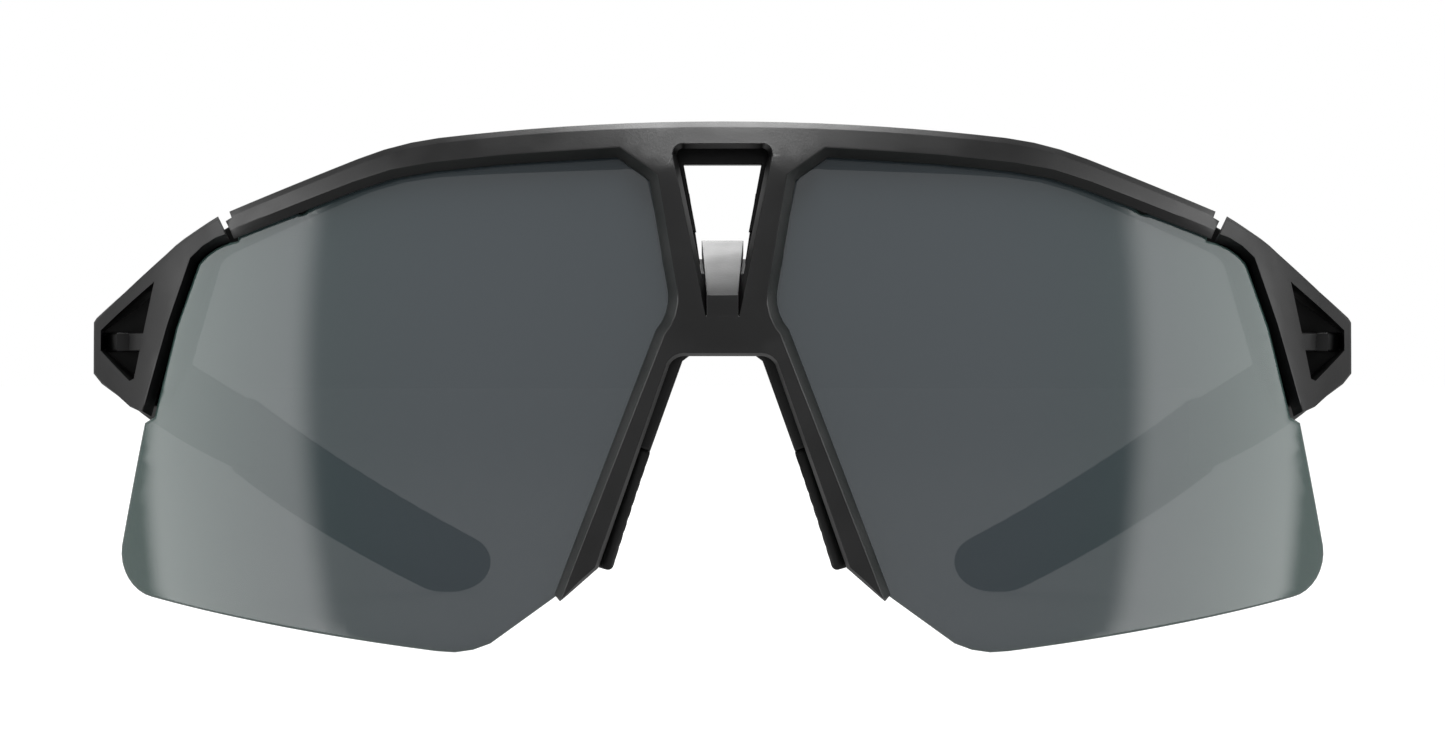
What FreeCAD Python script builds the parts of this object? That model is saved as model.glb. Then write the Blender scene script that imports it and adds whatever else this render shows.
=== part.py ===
import FreeCAD, Part
import os

import Sketcher
from FreeCAD import Placement, Rotation, Vector

# Wraparound sport sunglasses, temples open, standing on the two low corners of the lens and
# on the temple tips. Millimetres. +X is the wearer's left, +Y the rear, +Z up, and Z = 0 is
# the surface they stand on. Every shell that follows the face is a ring about an upright
# axis, cut to its outline as seen from the front. The front faces of the brace and the lugs
# turn about an axis a little further forward than the rest, so both thin out sideways.

SIZES = {
    # the wrap: its upright axes, and the radii of the shells at their middle height
    "wrap_centre": 10.0,
    "wrap_low": -3.0,
    "wrap_middle": 29.0,
    "wrap_high": 61.0,
    "wrap_sag": 2.5,
    "lens_outer": 84.0,
    "lens_inner": 82.0,
    "front_centre": 3.3,
    "front_inner": 60.0,
    "wide_outer": 95.0,
    "brace_outer": 80.3,
    "brace_inner": 84.1,
    "frame_outer": 81.9,
    "frame_inner": 78.4,
    "lug_outer": 80.2,
    "carrier_inner": 76.6,
    "brow_pad_outer": 78.3,
    "brow_pad_inner": 76.4,
    # the brow and the lens as seen from the front: half widths and heights
    "brow_top": 56.85,
    "brow_shoulder": 35.0,
    "brow_shoulder_top": 54.95,
    "brow_end": 54.5,
    "brow_end_top": 48.0,
    "brow_end_low": 44.95,
    "lens_cover": 0.95,
    "lens_side": 68.6,
    "lens_side_top": 24.8,
    "lens_low": 29.0,
    "window_top": 53.95,
    "window_floor": 38.2,
    "window_half_top": 4.6,
    "window_half_floor": 1.75,
    "ramp_front": -77.2,
    "ramp_rear": -65.9,
    "ramp_top": 44.4,
    "ramp_thick": 1.6,
    "nose_arch": 31.9,
    "leg_tip": 17.6,
    "leg_tip_low": 5.8,
    "lug_corner": 72.7,
    "lug_rear": -29.2,
    "recess_floor": -30.6,
    "rib_outer": 79.0,
    # hinges
    "hinge_side": 66.4,
    "hinge_rear": -26.4,
    "hinge_low": 30.4,
    "hinge_high": 36.6,
    "knuckle_low": 32.6,
    "knuckle_high": 34.8,
    "knuckle_radius": 2.7,
    "sleeve_radius": 1.35,
    "pin_radius": 0.8,
    "head_radius": 1.4,
    "insert_radius": 1.5,
    # temples: the plan curve is two arcs that meet at the bend
    "arm_start": -29.0,
    "arm_side": 70.9,
    "arm_radius": 200.0,
    "arm_bend": 18.0,
    "grip_radius": 112.0,
    "arm_half_thick": 1.7,
    "grip_half_thick": 2.1,
    "tongue_half_thick": 1.0,
    "core_half_thick": 0.4,
    "core_half_high": 1.3,
    "channel_half_thick": 0.5,
    "channel_half_high": 1.4,
    "cavity_half_thick": 1.1,
    "cavity_half_high": 2.7,
    "inlay_underside": 1.2,
    "tongue_half_high": 2.6,
    "grip_start": 31.0,
    "tip_radius": 4.0,
    "tip_centre": 73.0,
    # clearance between pieces that are clamped or moulded together
    "clear": 0.1,
}

doc = FreeCAD.newDocument("sport_sunglasses")
sheet = doc.addObject("Spreadsheet::Sheet", "Sizes")
for row, (alias, size) in enumerate(SIZES.items(), start=1):
    sheet.set("A%d" % row, str(size))
    sheet.setAlias("A%d" % row, alias)
doc.recompute()

FRONT_VIEW = Placement(Vector(0, -95, 0), Rotation(Vector(1, 0, 0), 90))
SIDE_VIEW = Placement(Vector(0, 0, 0), Rotation(Vector(0, 1, 0), Vector(0, 0, 1), Vector(1, 0, 0), "XYZ"))
PLAN_VIEW = Placement(Vector(0, 0, -5), Rotation())


def cell(alias, plus=0.0, times=1.0):
    """A coordinate that follows the sheet: its value and its expression."""
    return times * SIZES[alias] + plus, "%g * Sizes.%s + %g" % (times, alias, plus)


def on_arc(centre, radius, angle):
    """The point at an angle in degrees on an arc about a centre, as a pair of coordinates."""
    unit = Rotation(Vector(0, 0, 1), angle).multVec(Vector(1, 0, 0))
    return (
        (centre[0][0] + radius[0] * unit.x, "%s + (%s) * cos(%g)" % (centre[0][1], radius[1], angle)),
        (centre[1][0] + radius[0] * unit.y, "%s + (%s) * sin(%g)" % (centre[1][1], radius[1], angle)),
    )


def paired(coordinate):
    """Any coordinate as a value and an expression; a plain number has no expression."""
    if isinstance(coordinate, tuple):
        return coordinate
    return float(coordinate), None


def opposite(coordinate):
    value, expression = paired(coordinate)
    return -value, None if expression is None else "-(%s)" % expression


def both_sides(half):
    """A closed outline from its half at X > 0, given from the top to the bottom."""
    outline = list(half)
    for place in range(len(half) - 1, -1, -1):
        corner = [opposite(half[place][0]), half[place][1]]
        if place + 1 < len(half) and len(half[place + 1]) == 4:
            corner += [opposite(half[place + 1][2]), half[place + 1][3]]
        outline.append(tuple(corner))
    return outline


def sketch(name, placement, *outlines):
    """A sketch of closed outlines. A corner is (x, y), or (x, y, via_x, via_y) when an arc
    through the via point leads to it. Every point is held by constraints, which follow the
    sheet where the coordinate does."""
    drawing = doc.addObject("Sketcher::SketchObject", name)
    drawing.Placement = placement

    def hold(geometry, end, x, y):
        for kind, coordinate in (("DistanceX", x), ("DistanceY", y)):
            value, expression = paired(coordinate)
            if abs(value) < 1e-9:
                axis = -2 if kind == "DistanceX" else -1
                drawing.addConstraint(Sketcher.Constraint("PointOnObject", geometry, end, axis))
                continue
            index = drawing.addConstraint(Sketcher.Constraint(kind, -1, 1, geometry, end, value))
            if expression is not None:
                drawing.setExpression("Constraints[%d]" % index, expression)

    def point(x, y):
        return Vector(paired(x)[0], paired(y)[0], 0)

    for outline in outlines:
        ends = []
        for place, corner in enumerate(outline):
            start = point(*outline[place - 1][:2])
            finish = point(*corner[:2])
            if len(corner) == 2:
                ends.append((drawing.addGeometry(Part.LineSegment(start, finish)), 1, 2))
                continue
            via = point(*corner[2:])
            if (via - start).cross(finish - via).z > 0:
                curve = drawing.addGeometry(Part.Arc(start, via, finish))
                ends.append((curve, 1, 2))
            else:
                curve = drawing.addGeometry(Part.Arc(finish, via, start))
                ends.append((curve, 2, 1))
            mark = drawing.addGeometry(Part.Point(via), True)
            hold(mark, 1, *corner[2:])
            drawing.addConstraint(Sketcher.Constraint("PointOnObject", mark, 1, curve))
        for place, corner in enumerate(outline):
            this, next_one = ends[place], ends[(place + 1) % len(outline)]
            joined = Sketcher.Constraint("Coincident", this[0], this[2], next_one[0], next_one[1])
            drawing.addConstraint(joined)
            hold(this[0], this[2], *corner[:2])
    return drawing


def prism(name, base, direction, length):
    """A sketch pushed along a direction."""
    solid = doc.addObject("Part::Extrusion", name)
    solid.Base = base
    solid.DirMode = "Custom"
    solid.Dir = direction
    solid.LengthFwd = length
    solid.Solid = True
    return solid


def front_prism(name, *outlines, depth=90):
    """Outlines seen from the front, pushed rearwards from ahead of the object."""
    return prism(name, sketch(name + "_outline", FRONT_VIEW, *outlines), Vector(0, 1, 0), depth)


def ring(name, outer, inner, centre="wrap_centre"):
    """The shell between two radii, bowed in a little above and below its middle."""
    def edge(radius):
        return cell(radius), cell(radius, -SIZES["wrap_sag"])

    outer_middle, outer_end = edge(outer)
    inner_middle, inner_end = edge(inner)
    low, middle, high = cell("wrap_low"), cell("wrap_middle"), cell("wrap_high")
    profile = sketch(name + "_section", Placement(Vector(0, SIZES[centre], 0), SIDE_VIEW.Rotation), [
        (outer_end, low),
        (outer_end, high, outer_middle, middle),
        (inner_end, high),
        (inner_end, low, inner_middle, middle),
    ])
    profile.setExpression("Placement.Base.y", "Sizes." + centre)
    solid = doc.addObject("Part::Revolution", name)
    solid.Source = profile
    solid.Axis = Vector(0, 0, 1)
    solid.Base = Vector(0, SIZES[centre], 0)
    solid.setExpression("Base.y", "Sizes." + centre)
    solid.Angle = 360
    solid.Solid = True
    return solid


def common(name, base, tool):
    result = doc.addObject("Part::Common", name)
    result.Base = base
    result.Tool = tool
    return result


def fused(name, *pieces):
    result = doc.addObject("Part::MultiFuse", name)
    result.Shapes = list(pieces)
    return result


def less(name, base, *tools):
    """The base with the tools taken away."""
    result = base
    for count, tool in enumerate(tools, start=1):
        step = doc.addObject("Part::Cut", name if count == len(tools) else "%s_less_%d" % (name, count))
        step.Base = result
        step.Tool = tool
        result = step
    return result


def box(name, corner, size):
    """A box from its lowest corner; a number or a sheet coordinate for each entry."""
    solid = doc.addObject("Part::Box", name)
    for prop, coordinate in zip(("Length", "Width", "Height"), size):
        value, expression = paired(coordinate)
        setattr(solid, prop, value)
        if expression is not None:
            solid.setExpression(prop, expression)
    solid.Placement = Placement(Vector(*[paired(c)[0] for c in corner]), Rotation())
    for prop, coordinate in zip("xyz", corner):
        if paired(coordinate)[1] is not None:
            solid.setExpression("Placement.Base." + prop, coordinate[1])
    return solid


def cylinder(name, radius, x, y, low, high):
    """An upright cylinder between two heights."""
    solid = doc.addObject("Part::Cylinder", name)
    solid.Radius = paired(radius)[0]
    if paired(radius)[1] is not None:
        solid.setExpression("Radius", radius[1])
    low_value, low_expression = paired(low)
    high_value, high_expression = paired(high)
    solid.Height = high_value - low_value
    if low_expression and high_expression:
        solid.setExpression("Height", "(%s) - (%s)" % (high_expression, low_expression))
    solid.Placement = Placement(Vector(paired(x)[0], paired(y)[0], low_value), Rotation())
    for prop, coordinate in zip("xyz", (x, y, low)):
        if paired(coordinate)[1] is not None:
            solid.setExpression("Placement.Base." + prop, coordinate[1])
    return solid


def hinge_cylinder(name, radius, low, high):
    """A cylinder about the hinge's axis."""
    return cylinder(name, radius, cell("hinge_side"), cell("hinge_rear"), low, high)


def difference(upper, lower):
    return upper[0] - lower[0], "(%s) - (%s)" % (upper[1], lower[1])


def rearward_cylinder(name, radius, x, front, rear, height):
    """A cylinder along Y between two depths."""
    solid = doc.addObject("Part::Cylinder", name)
    solid.Radius = paired(radius)[0]
    if paired(radius)[1] is not None:
        solid.setExpression("Radius", radius[1])
    solid.Height = rear - front
    solid.Placement = Placement(Vector(x, front, height), Rotation(Vector(1, 0, 0), -90))
    return solid


def mirrored(name, source):
    """The same piece on the wearer's right."""
    result = doc.addObject("Part::Mirroring", name)
    result.Source = source
    result.Normal = Vector(1, 0, 0)
    result.Base = Vector(0, 0, 0)
    return result


NODES = {}


def node(name, piece):
    """Name a finished sub-part."""
    piece.Label = name
    NODES[name] = piece
    return piece


# ---- shells of the wrap, shared by the pieces cut from them ----

lens_shell = ring("lens_shell", "lens_outer", "lens_inner")
brace_shell = common("brace_shell", ring("brace_outside", "brace_outer", "front_inner", "front_centre"),
                     ring("brace_inside", "wide_outer", "brace_inner"))
frame_shell = ring("frame_shell", "frame_outer", "frame_inner")
lug_shell = common("lug_shell", ring("lug_outside", "lug_outer", "front_inner", "front_centre"),
                   ring("lug_inside", "wide_outer", "frame_inner"))
carrier_shell = ring("carrier_shell", "frame_outer", "carrier_inner")
brow_pad_shell = ring("brow_pad_shell", "brow_pad_outer", "brow_pad_inner")

BROW_BEVEL = 0.7
PEG_SIDE, PEG_HEIGHT = 46.0, 48.4
PEG_RADIUS, PEG_HOLE_RADIUS = 0.8, 0.9
SCREW_SIDE, SCREW_HEIGHT, HEAD_SEAT = 5.3, 47.6, -66.1


def brow_line(drop):
    """The first corners of an outline that follows the top of the brow, a little below it."""
    return [
        (cell("brow_shoulder"), cell("brow_shoulder_top", -drop), 0.0, cell("brow_top", -drop)),
    ]


# ---- shield lens ----

def shield_lens():
    edge = front_prism("lens_blank", both_sides(brow_line(SIZES["lens_cover"]) + [
        (cell("brow_end", -1.4), 47.5),
        (53.5, 44.7),
        (58.3, 42.3, 57.2, 43.3),
        (61.1, 35.2),
        (63.9, 25.2),
        (65.2, cell("lens_side_top", -0.3)),
        (cell("lens_side"), 10.4),
        (64.6, 4.8, 67.9, 6.9),
        (cell("lens_low", 1.8), 0.14, 48.0, 2.2),
        (24.9, 1.1, 27.8, 0.17),
        (17.9, 6.2),
        (16.6, 7.3),
        (14.5, 9.8),
        (7.0, 31.4),
        (5.2, cell("nose_arch", 1.3), 6.5, 32.7),
    ]), both_sides([
        (6.0, cell("window_top", 0.15)),
        (3.4, cell("window_floor", -0.6)),
    ]))
    holes = [rearward_cylinder("lens_peg_hole_%d" % side, PEG_HOLE_RADIUS, side * PEG_SIDE, -75, -45, PEG_HEIGHT)
             for side in (1, -1)]
    return less("lens", common("lens_body", edge, lens_shell), *holes)


# ---- front brace: thin brow, V struts, bridge and nose legs over the lens ----

def front_brace():
    outline = both_sides(brow_line(0.0) + [
        (cell("brow_end"), cell("brow_end_top")),
        (54.2, cell("brow_end_top", -0.7)),
        (54.95, cell("brow_end_top", -1.05)),
        (53.9, cell("brow_end_low")),
        (35.4, 51.3),
        (11.4, 53.0, 23.0, 52.6),
        (7.9, 50.6, 9.3, 52.3),
        (5.75, 38.6),
        (7.05, 34.7, 6.0, 36.5),
        (cell("leg_tip", 0.3), cell("leg_tip_low", 0.7)),
        (cell("leg_tip", -0.9), cell("leg_tip_low", 0.5), cell("leg_tip", -0.1), cell("leg_tip_low")),
        (13.2, 9.4),
        (5.6, 31.0),
        (3.7, cell("nose_arch"), 4.9, 31.7),
    ])
    body = common("brace_body", front_prism("brace_blank", outline), brace_shell)
    doc.recompute()
    brow = doc.addObject("Part::Chamfer", "brace_brow")
    brow.Base = body
    brow.Edges = [(number, BROW_BEVEL, BROW_BEVEL) for number in brow_front_edges(body.Shape)]
    window = front_prism("brace_window", window_outline())
    floor, front, rear = cell("window_floor"), cell("ramp_front"), cell("ramp_rear")
    slope = side_prism("brace_ramp_slope", [
        (-74.6, 35.5),
        (front, 35.5),
        (front, floor),
        (rear, cell("ramp_top")),
        (rear, cell("ramp_top", -SIZES["ramp_thick"])),
        (-74.6, cell("window_floor", -0.3)),
    ], 4.0)
    ramp_plan = sketch("brace_ramp_plan", Placement(Vector(0, 0, 34), Rotation()), both_sides([
        (cell("window_half_floor", -0.1), cell("ramp_front", -2)),
        (2.25, rear),
    ]))
    ramp = common("brace_ramp", slope, prism("brace_ramp_prism", ramp_plan, Vector(0, 0, 1), 14))
    ramp = common("brace_ramp_trimmed", ramp, ring("brace_ramp_room", "brace_outer", "front_inner", "front_centre"))
    pegs = [rearward_cylinder("brace_peg_%d" % side, PEG_RADIUS, side * PEG_SIDE, -60.2, -53.0, PEG_HEIGHT)
            for side in (1, -1)]
    return fused("brace", less("brace_open", brow, window), ramp, *pegs)


def brow_front_edges(shape):
    """The numbers of the edges where the top of the brow meets its front face."""
    numbers = []
    for number, edge in enumerate(shape.Edges, start=1):
        middle = edge.valueAt((edge.FirstParameter + edge.LastParameter) / 2)
        radius = Vector(middle.x, middle.y - SIZES["front_centre"], 0).Length
        in_front = radius > SIZES["brace_outer"] - 0.85 * SIZES["wrap_sag"]
        on_top = edge.BoundBox.XLength > 15 and edge.BoundBox.ZMax > SIZES["brow_shoulder_top"] - 1
        if in_front and on_top:
            numbers.append(number)
    return numbers


def window_outline():
    """The vent window: a trapezoid with small round upper corners."""
    return both_sides([
        (cell("window_half_top", -0.6), cell("window_top")),
        (cell("window_half_top", 0.2), cell("window_top", -0.9),
         cell("window_half_top", 0.05), cell("window_top", -0.15)),
        (cell("window_half_floor", -0.35), cell("window_floor", -1.6)),
    ])


def side_prism(name, outline, half_width):
    """An outline of depth and height, pushed out evenly to both sides."""
    placement = Placement(Vector(-half_width, 0, 0), SIDE_VIEW.Rotation)
    return prism(name, sketch(name + "_outline", placement, outline), Vector(1, 0, 0), 2 * half_width)


# ---- main frame: rear brow bar and posts, lugs that come round the lens, hinge tongues ----

LUG = [
    (55.65, 47.55),
    (60.2, 45.2),
    (62.6, 43.6, 61.4, 44.5),
    (cell("lug_corner", -0.4), 36.5),
    (cell("lug_corner"), 36.0),
    (cell("lug_corner"), 30.1),
    (71.5, 28.9),
    (69.2, 27.5),
    (67.6, 26.3),
    (64.6, 25.2),
    (61.2, 35.3),
    (58.4, 42.4),
    (54.1, 44.7, 57.2, 43.4),
]


def main_frame():
    bar = common("rear_bar", front_prism("rear_bar_blank", both_sides(brow_line(1.3) + [
        (54.6, 46.6),
        (61.0, 43.4),
        (66.0, 30.0),
        (64.0, 26.2),
        (62.4, 26.2),
        (60.1, 31.0),
        (56.4, 42.4),
        (54.0, 43.9, 55.5, 43.2),
        (39.6, 49.6),
        (31.0, 51.5, 35.4, 50.9),
        (11.0, 52.0),
        (8.0, 50.6, 9.0, 51.7),
        (6.8, 45.2),
        (2.8, 45.2),
        (4.15, 52.4),
    ])), frame_shell)
    lug = lug_blank("lug_body")
    rear = box("lug_rear_cut", (50, cell("lug_rear"), 20), (30, 40, 40))
    recess = common("lug_recess", front_prism("lug_recess_opening", [
        (64.1, 40.1),
        (71.4, 35.0),
        (71.4, 32.8),
        (67.2, 29.4),
        (66.7, 29.6),
    ]), box("lug_recess_depth", (60, -70, 25), (14, cell("recess_floor", 70.0), 20)))
    lug = less("lug_hollow", lug, rear, recess)
    low, high = cell("knuckle_low"), cell("knuckle_high")
    height = difference(high, low)
    tongue = box("hinge_tongue", (cell("hinge_side", -2.7), -37.0, low), (5.4, 10.6, height))
    rib_shell = ring("recess_rib_shell", "rib_outer", "front_inner", "front_centre")
    rib = common("recess_rib", common("recess_rib_bar", box("recess_rib_block", (60.5, -60, low), (14, 30.5, height)),
                                      lug_blank("recess_rib_trim")), rib_shell)
    knuckle = hinge_cylinder("frame_knuckle", cell("knuckle_radius"), low, high)
    bore = hinge_cylinder("frame_knuckle_bore", cell("sleeve_radius"), 20, 45)
    left = less("lug_left", fused("lug_with_tongue", lug, tongue, rib, knuckle), bore)
    body = fused("frame_body", bar, left, mirrored("lug_right", left))
    holes = []
    for side in (1, -1):
        holes.append(rearward_cylinder("frame_peg_hole_%d" % side, PEG_HOLE_RADIUS, side * PEG_SIDE, -62, -45,
                                       PEG_HEIGHT))
        holes.append(rearward_cylinder("frame_screw_hole_%d" % side, 0.65, side * SCREW_SIDE, -75, -60,
                                       SCREW_HEIGHT))
    return less("frame", body, *holes)


def lug_blank(name):
    """The lug before it is hollowed."""
    return common(name, front_prism(name + "_outline_prism", LUG), lug_shell)


# ---- nose carrier: ramp block under the vent, two ears screwed to the posts, two legs ----

def nose_carrier():
    block = side_prism("carrier_block", [
        (-71.4, 32.0),
        (-71.4, 39.4),
        (-66.0, 42.4),
        (-64.9, 42.4),
        (-64.9, 34.0),
        (-66.2, 32.0),
    ], 5.6)
    ears = common("carrier_ears", front_prism("carrier_ear_blank", [
        (3.0, 41.5), (3.75, 49.4), (7.2, 49.4), (6.4, 41.5),
    ], [
        (-3.0, 41.5), (-6.4, 41.5), (-7.2, 49.4), (-3.75, 49.4),
    ]), brow_pad_shell)
    legs = common("carrier_legs", front_prism("carrier_leg_blank", both_sides([
        (6.2, 34.6),
        (15.9, 9.6),
        (15.2, 8.4),
        (14.35, 8.4),
        (9.8, 22.95),
        (7.62, 22.2),
        (4.3, 31.4),
        (3.5, cell("nose_arch", 0.1)),
    ])), carrier_shell)
    holes = []
    for side in (1, -1):
        x = side * SCREW_SIDE
        holes.append(rearward_cylinder("carrier_hole_%d" % side, 0.65, x, -75, -60, SCREW_HEIGHT))
        holes.append(rearward_cylinder("carrier_seat_%d" % side, 1.2, x, HEAD_SEAT, -60, SCREW_HEIGHT))
    return less("carrier", fused("carrier_body", block, ears, legs), *holes)


def carrier_screws():
    screws = []
    for side in (1, -1):
        x = side * SCREW_SIDE
        shank = rearward_cylinder("carrier_shank_%d" % side, 0.6, x, -70.9, HEAD_SEAT + 0.3, SCREW_HEIGHT)
        head = rearward_cylinder("carrier_head_%d" % side, 1.1, x, HEAD_SEAT + 0.05, HEAD_SEAT + 0.9,
                                 SCREW_HEIGHT)
        slot = rearward_cylinder("carrier_socket_%d" % side, 0.5, x, HEAD_SEAT + 0.45, HEAD_SEAT + 2,
                                 SCREW_HEIGHT)
        screws.append(less("carrier_screw_%d" % side, fused("carrier_screw_body_%d" % side, shank, head), slot))
    group = doc.addObject("Part::Compound", "carrier_screw_pair")
    group.Links = screws
    return group


# ---- nose pads and brow pad ----

def nose_pad():
    """A soft rubber blade on the inner face of a leg, flared out towards the rear."""
    body = doc.addObject("PartDesign::Body", "nose_pad_body")
    drawing = body.newObject("Sketcher::SketchObject", "nose_pad_outline")
    plane = [f for f in body.Origin.OriginFeatures if f.Role == "XY_Plane"][0]
    drawing.AttachmentSupport = [(plane, "")]
    drawing.MapMode = "FlatFace"
    half_long, half_wide, thick = 6.9, 4.2, 1.4
    front_round, rear_round = 0.8, 3.4
    plus_x, plus_y = Vector(1, 0, 0), Vector(0, 1, 0)
    corners = [
        (Vector(-half_wide, -half_long, 0), front_round, -plus_y, plus_x),
        (Vector(half_wide, -half_long, 0), rear_round, plus_x, plus_y),
        (Vector(half_wide, half_long, 0), rear_round, plus_y, -plus_x),
        (Vector(-half_wide, half_long, 0), front_round, -plus_x, -plus_y),
    ]
    arcs = []
    for corner, radius, arrival, departure in corners:
        centre = corner + (departure - arrival) * radius
        arcs.append((corner - arrival * radius, centre + (arrival - departure) * (radius * 0.5 ** 0.5),
                     corner + departure * radius))
    drawn = []
    for arc, following in zip(arcs, arcs[1:] + arcs[:1]):
        drawn.append(drawing.addGeometry(Part.Arc(*arc)))
        drawn.append(drawing.addGeometry(Part.LineSegment(arc[2], following[0])))
    for first, second in zip(drawn, drawn[1:] + drawn[:1]):
        drawing.addConstraint(Sketcher.Constraint("Coincident", first, 2, second, 1))
    solid = body.newObject("PartDesign::Pad", "nose_pad_thickness")
    solid.Profile = drawing
    solid.Length = thick
    doc.recompute()
    rounding = body.newObject("PartDesign::Fillet", "nose_pad_rounding")
    rounding.Base = (solid, ["Face%d" % (number + 1) for number, face in enumerate(solid.Shape.Faces)
                             if abs(face.BoundBox.ZLength) < 1e-6])
    rounding.Radius = 0.6
    down = Vector(0.309, 0.0, -0.951)
    rearward = Vector(0.17, 0.98, 0.0)
    inward = rearward.cross(down)
    body.Placement = Placement(Vector(11.62, -66.3, 15.9), Rotation(rearward, down, inward, "ZYX"))
    return body


def brow_pad():
    return common("brow_pad_strip", front_prism("brow_pad_blank", both_sides([
        (cell("brow_shoulder"), cell("brow_shoulder_top", -2.2), 0.0, cell("brow_top", -2.0)),
        (51.5, 47.0),
        (50.5, 45.8, 51.5, 46.2),
        (38.5, 50.1),
        (31.0, 51.5, 35.0, 51.0),
        (10.5, 52.4),
        (8.5, 52.6),
    ])), brow_pad_shell)


# ---- temples ----

def temple_plan(name, inner, outer, start, end):
    """The plan of a temple layer between two distances from its middle surface; start and end
    are angles in degrees, on the first arc up to the bend and on the second beyond it."""
    bend = SIZES["arm_bend"]
    first_centre = cell("arm_side", -SIZES["arm_radius"]), cell("arm_start")
    reach = SIZES["arm_radius"] - SIZES["grip_radius"], "Sizes.arm_radius - Sizes.grip_radius"
    second_centre = on_arc(first_centre, reach, bend)

    def at(angle, offset, far=None):
        """A corner on the arcs; far says which arc, where the angle alone leaves it open."""
        on_second = angle > bend if far is None else far
        base = "grip_radius" if on_second else "arm_radius"
        radius = SIZES[base] + offset[0], "Sizes.%s + %s" % (base, offset[1])
        return on_arc(second_centre if on_second else first_centre, radius, angle)

    if start < bend < end:
        corners = [
            at(start, inner) + at((start + bend) / 2, inner),
            at(start, outer),
            at(bend, outer) + at((start + bend) / 2, outer),
            at(end, outer) + at((bend + end) / 2, outer),
            at(end, inner),
            at(bend, inner) + at((bend + end) / 2, inner),
        ]
    else:
        far = start >= bend
        middle = (start + end) / 2
        corners = [
            at(start, inner, far) + at(middle, inner, far),
            at(start, outer, far),
            at(end, outer, far) + at(middle, outer, far),
            at(end, inner, far),
        ]
    return prism(name, sketch(name + "_outline", PLAN_VIEW, corners), Vector(0, 0, 1), 60)


def even_plan(name, half_thick, start, end):
    """A temple layer that is centred on its middle surface."""
    return temple_plan(name, cell(half_thick, 0.0, -1.0), cell(half_thick), start, end)


def temple_side(name, outline):
    placement = Placement(Vector(20, 0, 0), SIDE_VIEW.Rotation)
    return prism(name, sketch(name + "_outline", placement, outline), Vector(1, 0, 0), 70)


MIDDLE_LINE = ((-29.0, 33.2), (11.0, 27.2), (33.0, 21.5), (56.0, 12.2), (77.0, 2.3))


def middle_height(depth):
    """The height of a temple's middle line, seen from the side, at a depth."""
    for (front, front_height), (rear, rear_height) in zip(MIDDLE_LINE, MIDDLE_LINE[1:]):
        if depth <= rear:
            return front_height + (rear_height - front_height) * (depth - front) / (rear - front)
    return MIDDLE_LINE[-1][1]


def middle_band(name, half_high, front, rear):
    """A strip of even height about the middle line of a temple, seen from the side."""
    depths = [front] + [depth for depth, _ in MIDDLE_LINE if front < depth < rear] + [rear]
    upper = [(depth, cell(half_high, middle_height(depth))) for depth in depths]
    lower = [(depth, cell(half_high, middle_height(depth), -1.0)) for depth in reversed(depths)]
    return temple_side(name, upper + lower)


def temple_arm():
    profile = temple_side("arm_side_view", [
        (cell("arm_start", 0.15), 30.3),
        (cell("arm_start", 0.15), 36.6),
        (cell("grip_start"), 26.4, 3.0, 32.5),
        (cell("grip_start"), 17.9),
        (-10.0, 26.6),
    ])
    body = common("arm_body", even_plan("arm_plan", "arm_half_thick", -1.0, 18.0), profile)
    tongue = common("arm_tongue", even_plan("tongue_plan", "tongue_half_thick", 15.0, 33.0),
                    middle_band("tongue_side", "tongue_half_high", 29.0, 59.0))
    block_plan = sketch("arm_hinge_block_outline", Placement(Vector(0, 0, 30.3), Rotation()), [
        (cell("hinge_side", -2.7), -23.0),
        (71.0, -23.0),
        (70.6, -8.0),
        (68.8, -8.0),
        (cell("hinge_side", -2.7), -18.5),
    ])
    block = common("arm_hinge_block", prism("arm_block_prism", block_plan, Vector(0, 0, 1), 5.6), profile)
    swing = hinge_cylinder("arm_swing_room", cell("knuckle_radius", 0.35), 20, 45)
    shell = less("arm_shell", fused("arm_shoulder", body, block), swing)
    spans = {
        "lower": (cell("hinge_low"), cell("knuckle_low", -SIZES["clear"])),
        "upper": (cell("knuckle_high", SIZES["clear"]), cell("hinge_high")),
    }
    fork = []
    for name, (low, high) in spans.items():
        fork.append(hinge_cylinder(name + "_knuckle", cell("knuckle_radius"), low, high))
        fork.append(box(name + "_link", (cell("hinge_side", -2.7), cell("hinge_rear"), low),
                        (5.4, 5.0, difference(high, low))))
    bore = hinge_cylinder("arm_bore", cell("pin_radius", 0.03), 20, 45)
    seat = hinge_cylinder("arm_insert_seat", cell("insert_radius"), cell("hinge_low", -1),
                          cell("knuckle_low", -0.8))
    head_room = hinge_cylinder("arm_head_room", cell("head_radius", 0.1), cell("hinge_high", -0.9),
                               cell("hinge_high", 1))
    channel = common("core_channel", even_plan("channel_plan", "channel_half_thick", 9.0, 31.5),
                     middle_band("channel_side", "channel_half_high", 4.0, 56.0))
    recess = common("inlay_recess", temple_plan("inlay_recess_plan", cell("inlay_underside", -0.05),
                                                cell("arm_half_thick", 2), 5.8, 14.7),
                    inlay_side("inlay_recess_side", 0.06))
    return less("arm", fused("arm_whole", shell, tongue, *fork), bore, seat, head_room, channel, recess)


def inlay_side(name, margin):
    """The trim seen from the side, grown all round by a margin."""
    return temple_side(name, [
        (-5.5 - margin, 28.4 - margin),
        (-4.0, 31.4 + margin),
        (17.0, 27.4 + margin),
        (19.0 + margin, 24.6),
        (17.0, 23.6 - margin),
    ])


def temple_inlay():
    return common("inlay", temple_plan("inlay_plan", cell("inlay_underside"),
                                       cell("arm_half_thick", 0.08), 5.0, 16.0),
                  inlay_side("inlay_outline", 0.0))


def temple_core():
    return common("core", even_plan("core_plan", "core_half_thick", 9.4, 31.0),
                  middle_band("core_side", "core_half_high", 5.0, 55.0))


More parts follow.
